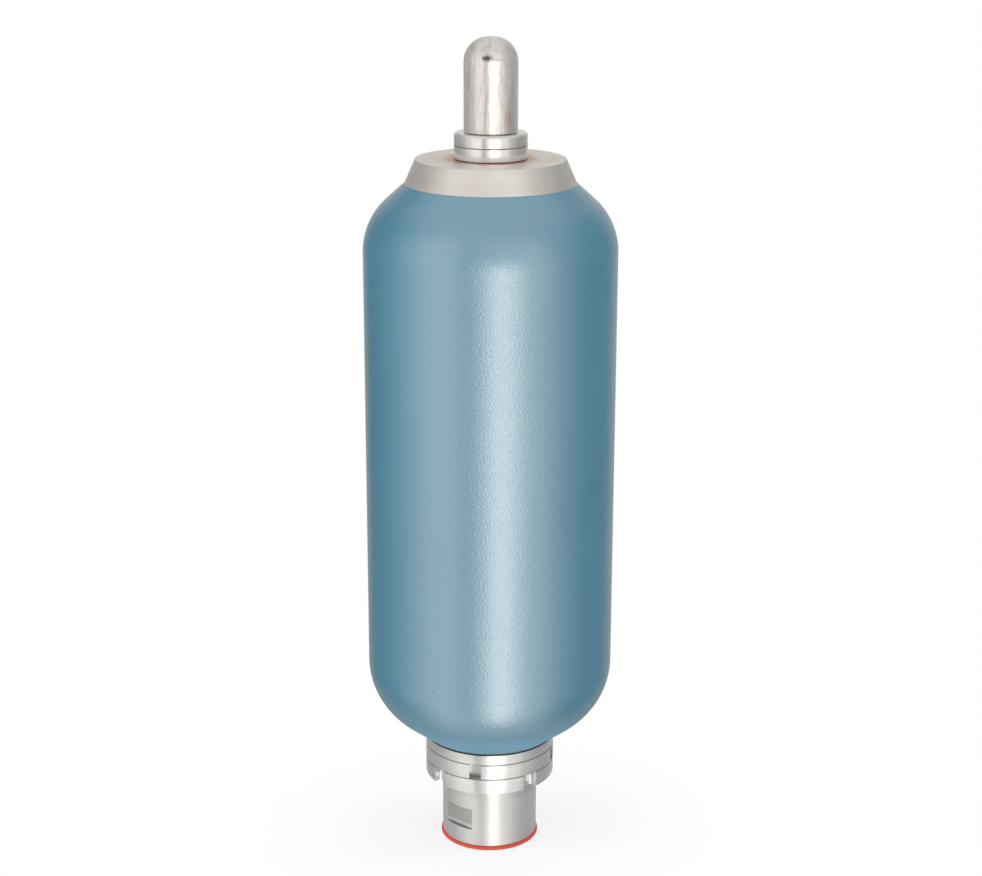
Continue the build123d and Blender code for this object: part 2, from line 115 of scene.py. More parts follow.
# Brightness of the studio walls as gloss and metal mirror them, by bearing from the front
wallBands = [
    (-180, 0.70),
    (-160, 0.38),
    (-140, 0.04),
    (-112, 0.05),
    (-92, 0.22),
    (-72, 0.62),
    (-52, 1.08),
    (-31, 1.10),
    (-25, 0.42),
    (-18, 0.42),
    (-11, 1.04),
    (28, 1.16),
    (48, 0.98),
    (70, 0.34),
    (98, 0.04),
    (128, 0.06),
    (152, 0.36),
    (180, 0.70),
]
strip = {"from": -6.0, "full": 2.0, "fading": 10.0, "to": 36.0, "strength": 2.05, "top": 6.0, "topSoft": 9.0}
flag = {"bearing": 0.0, "width": 14.0, "rise": 21.0, "height": 8.0, "depth": 0.30}
ceiling = {"level": 0.66, "from": 25.0, "to": 62.0}
under = {"level": 0.62, "back": 0.26, "from": -48.0, "to": -72.0, "backLift": 34.0, "turnFrom": 95.0, "turnTo": 145.0,
         "lifted": 0.6, "darkest": 0.03}
wallTint = (1.0, 0.965, 0.91, 1.0)


def makeCamera():
    data = bpy.data.cameras.new("camera")
    data.lens = cameraSetup["lens"]
    data.sensor_width = cameraSetup["sensor"]
    data.clip_start = cameraSetup["nearest"]
    camera = bpy.data.objects.new("camera", data)
    bpy.context.scene.collection.objects.link(camera)
    camera.location = (0.0, -cameraSetup["distance"], cameraSetup["height"])
    turn = Euler((math.radians(90 - cameraSetup["pitch"]), 0, -math.radians(cameraSetup["aimRight"])))
    roll = Euler((0, 0, math.radians(cameraSetup["roll"])))
    camera.rotation_euler = (turn.to_matrix() @ roll.to_matrix()).to_euler()
    bpy.context.scene.camera = camera


def softLight(name, bearing, rise, distance, size, power, aim):
    data = bpy.data.lights.new(name, "AREA")
    data.shape = "DISK"
    data.size = size
    data.energy = power
    lamp = bpy.data.objects.new(name, data)
    bpy.context.scene.collection.objects.link(lamp)
    around, up = math.radians(bearing), math.radians(rise)
    offset = Vector((math.sin(around) * math.cos(up), -math.cos(around) * math.cos(up), math.sin(up)))
    lamp.location = aim + offset * distance
    lamp.rotation_euler = (-offset).to_track_quat("-Z", "Y").to_euler()
    lamp.visible_glossy = False


class Wiring:
    # Short calls for adding and joining nodes in one tree
    def __init__(self, tree):
        self.nodes = tree.nodes
        self.links = tree.links

    def put(self, kind, **settings):
        node = self.nodes.new(kind)
        for key, value in settings.items():
            setattr(node, key, value)
        return node

    def join(self, source, target):
        if isinstance(source, (int, float, tuple)):
            target.default_value = source
        else:
            self.links.new(source, target)

    def make(self, kind, sources, **settings):
        # Adds a node with its inputs joined or set by name
        node = self.put(kind, **settings)
        for label, source in sources.items():
            self.join(source, node.inputs[label])
        return node

    def sums(self, kind, *values):
        node = self.put("ShaderNodeMath", operation=kind)
        for socket, value in zip(node.inputs, values):
            self.join(value, socket)
        return node.outputs[0]

    def times(self, first, second):
        return self.sums("MULTIPLY", first, second)

    def between(self, value, low, high, newLow, newHigh):
        sources = {"Value": value, "From Min": low, "From Max": high, "To Min": newLow, "To Max": newHigh}
        return self.make("ShaderNodeMapRange", sources, interpolation_type="SMOOTHSTEP").outputs["Result"]

    def hump(self, value, centre, width):
        # A soft bell, 1 at the centre
        off = self.sums("DIVIDE", self.sums("SUBTRACT", value, centre), width)
        return self.sums("EXPONENT", self.times(self.times(off, off), -1.0))

    def noise(self, vector, scale, detail=2.0, rough=0.5):
        sources = {"Vector": vector, "Scale": scale, "Detail": detail, "Roughness": rough}
        return self.make("ShaderNodeTexNoise", sources).outputs["Fac"]

    def mixed(self, factor, first, second):
        # Colours are given as three parts or as a socket
        node = self.put("ShaderNodeMix", data_type="RGBA")
        self.join(factor, node.inputs["Factor"])
        for socket, colour in ((node.inputs[6], first), (node.inputs[7], second)):
            self.join(colour + (1.0,) if isinstance(colour, tuple) else colour, socket)
        return node.outputs[2]

    def blended(self, factor, first, second):
        node = self.put("ShaderNodeMixShader")
        for socket, source in zip(node.inputs, (factor, first, second)):
            self.join(source, socket)
        return node.outputs[0]


def makeWorld():
    # Plain fill for matt surfaces, studio walls and a strip light for gloss, white behind
    world = bpy.data.worlds.new("studio")
    bpy.context.scene.world = world
    world.use_nodes = True
    world.node_tree.nodes.clear()
    wire = Wiring(world.node_tree)
    split = wire.put("ShaderNodeSeparateXYZ")
    wire.join(wire.put("ShaderNodeTexCoord").outputs["Generated"], split.inputs[0])
    back = wire.times(split.outputs["Y"], -1.0)
    degrees = 180 / math.pi
    bearing = wire.times(wire.sums("ARCTAN2", split.outputs["X"], back), degrees)
    rise = wire.times(wire.sums("ARCSINE", split.outputs["Z"]), degrees)
    walls = wire.put("ShaderNodeValToRGB")
    walls.color_ramp.interpolation = "EASE"
    stops = walls.color_ramp.elements
    while len(stops) < len(wallBands):
        stops.new(0.5)
    for stop, (angle, level) in zip(stops, wallBands):
        stop.position = angle / 360 + 0.5
        stop.color = (level, level, level, 1.0)
    wire.join(wire.sums("ADD", wire.sums("DIVIDE", bearing, 360.0), 0.5), walls.inputs["Fac"])
    above = wire.between(rise, ceiling["from"], ceiling["to"], 0.0, 1.0)
    room = wire.mixed(above, walls.outputs["Color"], (ceiling["level"],) * 3)
    across = wire.times(wire.between(bearing, strip["from"], strip["full"], 0.0, 1.0),
                        wire.between(bearing, strip["fading"], strip["to"], 1.0, 0.0))
    lit = wire.times(across, wire.between(rise, strip["top"] - strip["topSoft"], strip["top"] + strip["topSoft"],
                                          strip["strength"], 0.0))
    shade = wire.times(wire.hump(bearing, flag["bearing"], flag["width"]),
                       wire.times(wire.hump(rise, flag["rise"], flag["height"]), flag["depth"]))
    level = wire.sums("SUBTRACT", wire.sums("ADD", room, lit), shade)
    turned = wire.between(wire.sums("ABSOLUTE", bearing), under["turnFrom"], under["turnTo"], 0.0, under["backLift"])
    low = wire.between(wire.sums("SUBTRACT", rise, turned), under["to"], under["from"], 1.0, 0.0)
    beneath = wire.between(turned, 0.0, under["backLift"] * under["lifted"], under["level"], under["back"])
    level = wire.sums("MAXIMUM", wire.mixed(low, level, beneath), under["darkest"])
    path = wire.put("ShaderNodeLightPath")
    fill = wire.put("ShaderNodeBackground")
    fill.inputs["Strength"].default_value = studio["fill"]
    mirrored = wire.put("ShaderNodeBackground")
    mirrored.inputs["Color"].default_value = wallTint
    wire.join(level, mirrored.inputs["Strength"])
    seen = wire.put("ShaderNodeBackground")
    seen.inputs["Color"].default_value = studio["white"]
    glossy = wire.blended(path.outputs["Is Glossy Ray"], fill.outputs[0], mirrored.outputs[0])
    direct = wire.sums("MAXIMUM", path.outputs["Is Camera Ray"], path.outputs["Is Transmission Ray"])
    out = wire.put("ShaderNodeOutputWorld")
    wire.join(wire.blended(direct, glossy, seen.outputs[0]), out.inputs["Surface"])


def makeFloor():
    # Pale paper that fades into the white background and keeps the shadow round the foot
    half = studio["floorSize"] / 2
    mesh = bpy.data.meshes.new("floor")
    mesh.from_pydata([(-half, -half, 0), (half, -half, 0), (half, half, 0), (-half, half, 0)], [], [(0, 1, 2, 3)])
    floor = bpy.data.objects.new("floor", mesh)
    bpy.context.scene.collection.objects.link(floor)
    floor.location.z = cadBox[0].z
    paper = bpy.data.materials.new("floorPaper")
    paper.use_nodes = True
    wire = Wiring(paper.node_tree)
    shader = wire.nodes["Principled BSDF"]
    shader.inputs["Base Color"].default_value = studio["floorColour"]
    shader.inputs["Roughness"].default_value = studio["floorRoughness"]
    shader.inputs["Specular IOR Level"].default_value = studio["floorGloss"]
    glow = wire.put("ShaderNodeEmission")
    glow.inputs["Color"].default_value = studio["white"]
    far = wire.put("ShaderNodeVectorMath", operation="LENGTH")
    wire.join(wire.put("ShaderNodeTexCoord").outputs["Object"], far.inputs[0])
    near, away = studio["floorFade"]
    fade = wire.between(far.outputs["Value"], near, away, 1.0 - studio["shadowDepth"], 1.0)
    path = wire.put("ShaderNodeLightPath")
    looked = wire.sums("MAXIMUM", path.outputs["Is Camera Ray"], path.outputs["Is Glossy Ray"])
    looked = wire.sums("MAXIMUM", looked, path.outputs["Is Transmission Ray"])
    pale = wire.blended(wire.times(looked, fade), shader.outputs[0], glow.outputs[0])
    wire.join(pale, wire.nodes["Material Output"].inputs["Surface"])
    mesh.materials.append(paper)
    floor.visible_glossy = False


makeCamera()
makeWorld()
makeFloor()
middle = Vector((0, 0, (cadBox[0].z + cadBox[1].z) / 2))
softLight("key", studio["keyBearing"], studio["keyRise"], studio["keyDistance"],
          studio["keySize"], studio["keyPower"], middle)
softLight("side", studio["sideBearing"], studio["sideRise"], studio["sideDistance"],
          studio["sideSize"], studio["sidePower"], middle)
bpy.context.scene.view_settings.view_transform = "Standard"
print("camera and studio ready")


# Shader groups that several finishes share

def newGroup(name, inputs, outputs):
    # Every socket carries one number
    group = bpy.data.node_groups.new(name, "ShaderNodeTree")
    for label, value in inputs.items():
        group.interface.new_socket(label, in_out="INPUT", socket_type="NodeSocketFloat").default_value = value
    for label in outputs:
        group.interface.new_socket(label, in_out="OUTPUT", socket_type="NodeSocketFloat")
    wire = Wiring(group)
    return group, wire, wire.put("NodeGroupInput").outputs, wire.put("NodeGroupOutput").inputs


def makeAroundGroup():
    # Bearing, radius and height of a point, for finishes that follow the turned axis
    group, wire, _, out = newGroup("aroundAxis", {}, ("Bearing", "Radius", "Height"))
    split = wire.put("ShaderNodeSeparateXYZ")
    wire.join(wire.put("ShaderNodeTexCoord").outputs["Object"], split.inputs[0])
    x, y, z = split.outputs
    wire.join(wire.sums("ARCTAN2", x, wire.times(y, -1.0)), out["Bearing"])
    wire.join(wire.sums("SQRT", wire.sums("ADD", wire.times(x, x), wire.times(y, y))), out["Radius"])
    wire.join(z, out["Height"])
    return group


toolLines = {"wander": 0.35, "detail": 3.0, "rough": 0.6, "broadScale": 0.13, "broadShare": 0.5, "middle": 0.5}


def makeTurnedGroup(around):
    # Fine tool lines round the axis, on the sides and on the end faces
    group, wire, given, out = newGroup("turnedLines", {"Pitch": 0.0004, "Roughness": 0.3, "Change": 0.08},
                                       ("Height", "Roughness", "Shade"))
    where = wire.put("ShaderNodeGroup", node_tree=around).outputs
    rings = wire.sums("DIVIDE", wire.sums("ADD", where["Height"], where["Radius"]), given["Pitch"])
    point = wire.make("ShaderNodeCombineXYZ", {
        "X": rings, "Y": wire.times(wire.sums("SINE", where["Bearing"]), toolLines["wander"]),
        "Z": wire.times(wire.sums("COSINE", where["Bearing"]), toolLines["wander"])}).outputs[0]
    fine = wire.noise(point, 1.0, toolLines["detail"], toolLines["rough"])
    broad = wire.noise(point, toolLines["broadScale"])
    wire.join(wire.sums("ADD", fine, wire.times(broad, toolLines["broadShare"])), out["Height"])
    spread = wire.times(wire.sums("SUBTRACT", broad, toolLines["middle"]), given["Change"])
    wire.join(wire.sums("ADD", given["Roughness"], spread), out["Roughness"])
    wire.join(broad, out["Shade"])
    return group


paintedLineCore = 0.35        # the share of a line's width that has its full strength


def makeShadeAndHighlightGroup(around):
    # Thin lines of painted shade and painted highlight round a piece at two heights
    group, wire, given, out = newGroup("shadeAndHighlightLines", {"Upper": 0.0, "Lower": 0.0, "Width": 0.0005}, ("Mask",))
    height = wire.put("ShaderNodeGroup", node_tree=around).outputs["Height"]
    sides = []
    for label in ("Upper", "Lower"):
        gap = wire.sums("ABSOLUTE", wire.sums("SUBTRACT", height, given[label]))
        sides.append(wire.sums("DIVIDE", gap, given["Width"]))
    wire.join(wire.between(wire.sums("MINIMUM", *sides), paintedLineCore, 1.0, 1.0, 0.0), out["Mask"])
    return group


def makeMarkGroup(around):
    # One soft mark at a bearing and height, measured along the surface
    group, wire, given, out = newGroup("softMark", {"Bearing": 0.0, "Height": 0.0, "Wide": 0.002, "Tall": 0.002},
                                       ("Mask",))
    where = wire.put("ShaderNodeGroup", node_tree=around).outputs
    turn = wire.sums("SUBTRACT", where["Bearing"], given["Bearing"])
    sideways = wire.sums("DIVIDE", wire.times(turn, where["Radius"]), given["Wide"])
    upward = wire.sums("DIVIDE", wire.sums("SUBTRACT", where["Height"], given["Height"]), given["Tall"])
    away = wire.sums("ADD", wire.times(sideways, sideways), wire.times(upward, upward))
    wire.join(wire.sums("EXPONENT", wire.times(away, -1.0)), out["Mask"])
    return group


patchNoise = {"detail": 4.0, "rough": 0.6}


def makePatchGroup():
    # Soft patches, stretched along the axis when Stretch is under 1
    group, wire, given, out = newGroup("softPatches", {"Size": 0.01, "Stretch": 1.0, "From": 0.5, "To": 0.7},
                                       ("Mask", "Raw"))
    split = wire.put("ShaderNodeSeparateXYZ")
    wire.join(wire.put("ShaderNodeTexCoord").outputs["Object"], split.inputs[0])
    x, y, z = split.outputs
    point = wire.make("ShaderNodeCombineXYZ", {"X": x, "Y": y, "Z": wire.times(z, given["Stretch"])})
    scale = wire.sums("DIVIDE", 1.0, given["Size"])
    raw = wire.noise(point.outputs[0], scale, patchNoise["detail"], patchNoise["rough"])
    wire.join(wire.between(raw, given["From"], given["To"], 0.0, 1.0), out["Mask"])
    wire.join(raw, out["Raw"])
    return group


aroundAxis = makeAroundGroup()
turnedLines = makeTurnedGroup(aroundAxis)
softPatches = makePatchGroup()
shadeAndHighlightLines = makeShadeAndHighlightGroup(aroundAxis)
softMark = makeMarkGroup(aroundAxis)


# Finishes

def newFinish(name, colour, roughness, metallic):
    material = bpy.data.materials.new(name)
    material.use_nodes = True
    wire = Wiring(material.node_tree)
    shader = wire.nodes["Principled BSDF"]
    shader.inputs["Base Color"].default_value = colour + (1.0,)
    shader.inputs["Roughness"].default_value = roughness
    shader.inputs["Metallic"].default_value = metallic
    return material, wire, shader


def useGroup(wire, group, **values):
    node = wire.put("ShaderNodeGroup", node_tree=group)
    for label, value in values.items():
        node.inputs[label].default_value = value
    return node


def bumpInto(wire, shader, height, depth):
    bump = wire.make("ShaderNodeBump", {"Height": height, "Distance": depth, "Strength": 1.0})
    wire.join(bump.outputs["Normal"], shader.inputs["Normal"])
    return bump


turnedShade = {"from": 0.3, "to": 0.7, "dulling": 0.93, "dullShare": 0.5}


def turnedSteel(name, setup):
    # Metal with fine tool lines, whose shade wanders a little from ring to ring
    material, wire, shader = newFinish(name, setup["colour"], setup["roughness"], setup["metallic"])
    lines = useGroup(wire, turnedLines, Pitch=setup["pitch"], Roughness=setup["roughness"], Change=setup["change"])
    shade = wire.between(lines.outputs["Shade"], turnedShade["from"], turnedShade["to"], 0.0, 1.0)
    patches = useGroup(wire, softPatches, Size=0.02, Stretch=1.0, From=0.4, To=0.7)
    dulled = tuple(part * turnedShade["dulling"] for part in setup["tint"])
    metal = wire.mixed(wire.times(patches.outputs["Mask"], turnedShade["dullShare"]),
                       wire.mixed(shade, setup["colour"], setup["tint"]), dulled)
    wire.join(metal, shader.inputs["Base Color"])
    wire.join(lines.outputs["Roughness"], shader.inputs["Roughness"])
    bumpInto(wire, shader, lines.outputs["Height"], setup["depth"])
    return material, wire, shader


def linedShade(wire, shade, lineSets):
    # Draws thin lines of painted shade and painted highlight over a colour: two heights, width, strength and colour
    # for each set
    for upper, lower, width, amount, colour in lineSets:
        paintedLine = useGroup(wire, shadeAndHighlightLines, Upper=upper, Lower=lower, Width=width)
        shade = wire.mixed(wire.times(paintedLine.outputs["Mask"], amount), shade, colour)
    return shade


paint = {
    "colour": (0.078, 0.268, 0.386),
    "deep": (0.060, 0.232, 0.350),
    "cloudShare": 0.45,
    "roughness": 0.34,
    "smoother": 0.05,
    "rougher": 0.07,
    "index": 2.0,
    "level": 0.62,
    "coat": 1.0,
    "coatIndex": 1.85,
    "coatRoughness": 0.19,
    "peelSize": 0.0014,
    "peelDepth": 0.00018,
    "peelRange": (0.2, 0.8),
    "grainSize": 0.0007,
    "grainRange": (0.35, 0.7),
    "grainShare": 0.5,
    "grainHeight": 0.15,
    "footStart": 0.35,
    # Painted shadow: a dark line along the paint's foot, under the shell's edge
    "paintedShadowColour": (0.02, 0.035, 0.045),
    "paintedShadowHeight": 2.4 * mm,
    "paintedShadowShare": 0.9,
    # Towards the foot the paint is rougher with less coat, and its blue is painted lighter as painted light on the
    # shaded underside
    "dryAndUnderLightReach": 36.0 * mm,
    "paintedUnderLightColour": (0.105, 0.335, 0.475),
    "paintedUnderLightShare": 0.75,
    "dryRoughness": 0.42,
    "dryCoat": 0.95,
}


def bluePaint(foot):
    # Sprayed enamel: orange peel, fine grain, cloudy changes of depth, and drier towards its foot, where the blue is
    # painted lighter as painted light and ends in a dark line of painted shadow
    material, wire, shader = newFinish("bluePaint", paint["colour"], paint["roughness"], 0.0)
    place = wire.put("ShaderNodeTexCoord").outputs["Object"]
    peel = wire.noise(place, 1 / paint["peelSize"])
    grain = wire.noise(place, 1 / paint["grainSize"], 1.0)
    cloud = useGroup(wire, softPatches, Size=0.06, Stretch=0.5, From=0.3, To=0.75)
    speck = wire.times(wire.between(grain, *paint["grainRange"], 0.0, 1.0), paint["grainShare"])
    amount = wire.sums("ADD", wire.times(cloud.outputs["Mask"], paint["cloudShare"]), speck)
    blue = wire.mixed(amount, paint["colour"], paint["deep"])
    height = wire.put("ShaderNodeGroup", node_tree=aroundAxis).outputs["Height"]
    # One mask for paint that is drier and also painted lighter, one for the painted shadow line
    dryAndUnderLight, paintedLine = (wire.between(height, foot + paint["footStart"] * reach, foot + reach, 1.0, 0.0)
                 for reach in (paint["dryAndUnderLightReach"], paint["paintedShadowHeight"]))
    # Painted light: the blue lifted towards the foot
    blue = wire.mixed(wire.times(dryAndUnderLight, paint["paintedUnderLightShare"]), blue, paint["paintedUnderLightColour"])
    # Painted shadow line along the foot
    blue = wire.mixed(wire.times(paintedLine, paint["paintedShadowShare"]), blue, paint["paintedShadowColour"])
    wire.join(blue, shader.inputs["Base Color"])
    rough = wire.between(peel, *paint["peelRange"], paint["roughness"] - paint["smoother"],
                         paint["roughness"] + paint["rougher"])
    wire.join(wire.sums("MULTIPLY_ADD", dryAndUnderLight, paint["dryRoughness"], rough), shader.inputs["Roughness"])
    wire.join(wire.sums("MULTIPLY_ADD", dryAndUnderLight, -paint["dryCoat"] * paint["coat"], paint["coat"]),
              shader.inputs["Coat Weight"])
    skin = wire.sums("ADD", peel, wire.times(grain, paint["grainHeight"]))
    bump = bumpInto(wire, shader, skin, paint["peelDepth"])
    wire.join(bump.outputs["Normal"], shader.inputs["Coat Normal"])
    for label, key in (("IOR", "index"), ("Specular IOR Level", "level"), ("Coat IOR", "coatIndex"),
                       ("Coat Roughness", "coatRoughness")):
        shader.inputs[label].default_value = paint[key]
    return material


neckSteelSetup = {
    "colour": (0.84, 0.82, 0.79),
    "tint": (0.785, 0.76, 0.725),
    "blush": (0.68, 0.585, 0.53),
    "blushShare": 0.34,
    "rustAndShadow": (0.52, 0.28, 0.16),
    "rustAndShadowReach": 11.0 * mm,
    "rustAndShadowShare": 0.55,
    "rustAndShadowLeast": 0.4,
    "roughness": 0.42,
    "metallic": 0.66,
    "pitch": 0.0006,
    "depth": 0.000008,
    "change": 0.06,
}


def neckSteel(collarReach):
    # Bare machined neck: warm satin grey, browner where it meets the collar, from rust patches and a painted contact
    # shadow
    setup = neckSteelSetup
    material, wire, shader = turnedSteel("neckSteel", setup)
    base = shader.inputs["Base Color"].links[0].from_socket
    radius = wire.put("ShaderNodeGroup", node_tree=aroundAxis).outputs["Radius"]
    near = wire.between(radius, collarReach, collarReach + setup["rustAndShadowReach"], 1.0, 0.0)
    patches = useGroup(wire, softPatches, Size=0.009, Stretch=1.0, From=0.25, To=0.75)
    blush = useGroup(wire, softPatches, Size=0.03, Stretch=1.0, From=0.35, To=0.7)
    # Rust in patches over a steady ring of painted contact shadow round the collar's foot
    rustAndShadowMask = wire.sums("MULTIPLY_ADD", patches.outputs["Mask"], setup["rustAndShadowShare"], setup["rustAndShadowLeast"])
    blushed = wire.mixed(wire.times(blush.outputs["Mask"], setup["blushShare"]), base, setup["blush"])
    wire.join(wire.mixed(wire.times(near, rustAndShadowMask), blushed, setup["rustAndShadow"]), shader.inputs["Base Color"])
    return material


capSteelSetup = {
    "colour": (0.82, 0.805, 0.795),
    "tint": (0.69, 0.665, 0.65),
    "stain": (0.52, 0.41, 0.32),
    "stainShare": 0.4,
    "mottle": (0.52, 0.49, 0.475),
    "mottleShare": 0.16,
    "roughness": 0.22,
    "smoother": 0.03,
    "rougher": 0.05,
    "fineRange": (0.3, 0.7),
    "raggedRange": (0.25, 0.6),
    "raggedLeast": 0.5,
    "metallic": 0.54,
    "streakHeight": 8.0,
    "depth": 0.000045,
}

# Marks on the cap, the first three painted dark reflections on the dome and the rest stains and streaks: bearing,
# height below its top, width, height, colour and strength
capStainsAndPaintedReflections = [
    (-9, 12.2 * mm, 3.0 * mm, 1.5 * mm, (0.10, 0.08, 0.07), 1.7),
    (14, 13.2 * mm, 5.0 * mm, 0.7 * mm, (0.42, 0.37, 0.33), 0.55),
    (-4, 3.2 * mm, 0.7 * mm, 4.0 * mm, (0.42, 0.39, 0.36), 0.45),
    (-11, 42 * mm, 1.1 * mm, 10.0 * mm, (0.50, 0.36, 0.24), 0.65),
    (-11, 22 * mm, 0.8 * mm, 10.0 * mm, (0.52, 0.44, 0.36), 0.4),
    (-38, 40 * mm, 1.2 * mm, 9.0 * mm, (0.70, 0.58, 0.46), 0.5),
    (40, 51 * mm, 3.2 * mm, 6.5 * mm, (0.62, 0.48, 0.36), 0.9),
]


def capSteel(top):
    # Drawn steel: lengthwise streaks, brown stains and marks, painted dark reflections on the dome, and a slightly
    # uneven skin
    setup = capSteelSetup
    material, wire, shader = newFinish("capSteel", setup["colour"], setup["roughness"], setup["metallic"])
    streaks = useGroup(wire, softPatches, Size=0.0030, Stretch=0.28, From=0.35, To=0.7)
    fine = useGroup(wire, softPatches, Size=0.0014, Stretch=0.12, From=0.3, To=0.7)
    stains = useGroup(wire, softPatches, Size=0.007, Stretch=0.22, From=0.52, To=0.74)
    shade = wire.mixed(streaks.outputs["Mask"], setup["colour"], setup["tint"])
    shade = wire.mixed(wire.times(fine.outputs["Mask"], setup["mottleShare"]), shade, setup["mottle"])
    shade = wire.mixed(wire.times(stains.outputs["Mask"], setup["stainShare"]), shade, setup["stain"])
    ragged = wire.between(fine.outputs["Raw"], *setup["raggedRange"], setup["raggedLeast"], 1.0)
    # Painted dark reflections and stains, each laid on as a soft mark
    for bearing, below, wide, tall, colour, strength in capStainsAndPaintedReflections:
        mark = useGroup(wire, softMark, Bearing=math.radians(bearing), Height=top - below, Wide=wide, Tall=tall)
        amount = wire.times(mark.outputs["Mask"], wire.times(ragged, strength))
        shade = wire.mixed(amount, shade, colour)
    wire.join(shade, shader.inputs["Base Color"])
    rough = wire.between(fine.outputs["Raw"], *setup["fineRange"], setup["roughness"] - setup["smoother"],
                         setup["roughness"] + setup["rougher"])
    wire.join(rough, shader.inputs["Roughness"])
    height = wire.sums("MULTIPLY_ADD", streaks.outputs["Raw"], setup["streakHeight"], fine.outputs["Raw"])
    bumpInto(wire, shader, height, setup["depth"])
    return material


portSteelSetup = {
    "colour": (0.68, 0.68, 0.665),
    "tint": (0.66, 0.66, 0.645),
    "roughness": 0.28,
    "metallic": 0.42,
    "pitch": 0.00042,
    "depth": 0.0000005,
    "change": 0.012,
    "flatColour": (0.39, 0.39, 0.375),
    "flatRoughness": 0.42,
    "flatFoot": 12.0 * mm,
    "flatStart": 0.05 * mm,
    "flatFull": 0.16 * mm,
    "flatDeepest": 3.0 * mm,
    "millPitch": 0.0011,
}

# Painted highlight line and painted shadow line across each flat near its foot: height above its foot, width,
# strength and colour
flatHighlightAndShadowLines = [
    (2.3 * mm, 1.0 * mm, 0.6, (0.86, 0.86, 0.85)),
    (0.3 * mm, 0.8 * mm, 0.8, (0.25, 0.25, 0.24)),
]


def portSteel(tubeReach, flatFoot):
    # Turned tube whose spanner flats carry cutter marks instead of turned lines
    setup = portSteelSetup
    material, wire, shader = turnedSteel("portSteel", setup)
    base = shader.inputs["Base Color"].links[0].from_socket
    rough = shader.inputs["Roughness"].links[0].from_socket
    where = wire.put("ShaderNodeGroup", node_tree=aroundAxis).outputs
    inside = wire.between(where["Radius"], tubeReach - setup["flatFull"], tubeReach - setup["flatStart"], 1.0, 0.0)
    milled = wire.times(inside, wire.sums("GREATER_THAN", where["Radius"], tubeReach - setup["flatDeepest"]))
    marks = wire.sums("SINE", wire.sums("DIVIDE", where["Height"], setup["millPitch"] / (2 * math.pi)))
    wander = useGroup(wire, softPatches, Size=0.004, Stretch=3.0, From=0.3, To=0.7)
    shade = wire.times(wire.sums("MULTIPLY_ADD", marks, 0.5, 0.5), wander.outputs["Raw"])
    # Painted highlight and painted shadow lines near the flats' foot
    cut = linedShade(wire, wire.mixed(shade, setup["flatColour"], setup["tint"]),
                     [(flatFoot + above, flatFoot + above, *line) for above, *line in flatHighlightAndShadowLines])
    wire.join(wire.mixed(milled, base, cut), shader.inputs["Base Color"])
    wire.join(wire.between(milled, 0.0, 1.0, rough, setup["flatRoughness"]), shader.inputs["Roughness"])
    return material


def shadeLinedSteel(name, setup, lineSets):
    # Smooth turned rings with thin lines of painted shade where they meet
    material, wire, shader = turnedSteel(name, setup)
    base = shader.inputs["Base Color"].links[0].from_socket
    wire.join(linedShade(wire, base, lineSets), shader.inputs["Base Color"])
    return material


fineTurned = {"pitch": 0.00045, "depth": 0.000003, "change": 0.05}
ringSteelSetup = {"colour": (0.76, 0.76, 0.755), "tint": (0.72, 0.72, 0.71), "roughness": 0.18, "metallic": 0.52,
                  **fineTurned}
collarSteelSetup = {"colour": (0.85, 0.845, 0.835), "tint": (0.80, 0.79, 0.775), "roughness": 0.14,
                    "metallic": 0.60, **fineTurned}
hiddenMetal = {"metallic": 1.0, "change": 0.1}
innerSteelSetup = {"colour": (0.60, 0.60, 0.59), "tint": (0.53, 0.53, 0.52), "roughness": 0.34, "pitch": 0.0005,
                   "depth": 0.000012, **hiddenMetal}
bronzeSetup = {"colour": (0.60, 0.40, 0.20), "tint": (0.52, 0.34, 0.16), "roughness": 0.36, "pitch": 0.0004,
               "depth": 0.000012, **hiddenMetal}
brassSetup = {"colour": (0.72, 0.55, 0.25), "tint": (0.65, 0.48, 0.21), "roughness": 0.28, "pitch": 0.0004,
              "depth": 0.00001, **hiddenMetal}

# Moulded and drawn finishes: two shades in soft patches, and a grain where it has one
redPlastic = {"light": (0.74, 0.092, 0.06), "dark": (0.66, 0.068, 0.045), "roughness": 0.38, "metallic": 0.0,
              "size": 0.012, "from": 0.3, "to": 0.8, "grain": 900.0, "depth": 0.00002}
blackRubber = {"light": (0.020, 0.020, 0.021), "dark": (0.045, 0.045, 0.046), "roughness": 0.62, "metallic": 0.0,
               "size": 0.02, "from": 0.4, "to": 0.8, "grain": 1400.0, "depth": 0.00003}
springSteel = {"light": (0.32, 0.32, 0.33), "dark": (0.17, 0.165, 0.165), "roughness": 0.38, "metallic": 1.0,
               "size": 0.003, "from": 0.35, "to": 0.7}
whitePlastic = {"light": (0.80, 0.80, 0.78), "dark": (0.74, 0.74, 0.71), "roughness": 0.5, "metallic": 0.0,
                "size": 0.01, "from": 0.3, "to": 0.8}


def cloudyFinish(name, setup):
    material, wire, shader = newFinish(name, setup["light"], setup["roughness"], setup["metallic"])
    cloud = useGroup(wire, softPatches, Size=setup["size"], Stretch=1.0, From=setup["from"], To=setup["to"])
    wire.join(wire.mixed(cloud.outputs["Mask"], setup["light"], setup["dark"]), shader.inputs["Base Color"])
    if "grain" in setup:
        place = wire.put("ShaderNodeTexCoord").outputs["Object"]
        bumpInto(wire, shader, wire.noise(place, setup["grain"]), setup["depth"])
    return material


ringOverhang = 11.7 * mm
portReach = reachOf("spacer_ring") - ringOverhang        # the tube inside the ring nuts
# Painted shade in the grooves above and below the slotted nut, and painted shadow on the spacer under the shell's
# edge: two heights, width, strength and colour
ringShadeLines = [
    (highOf("slotted_nut"), lowOf("slotted_nut"), 0.75 * mm, 0.72, (0.26, 0.23, 0.20)),
    (lowOf("shell"), lowOf("shell"), 1.3 * mm, 1.0, (0.02, 0.03, 0.04)),
]
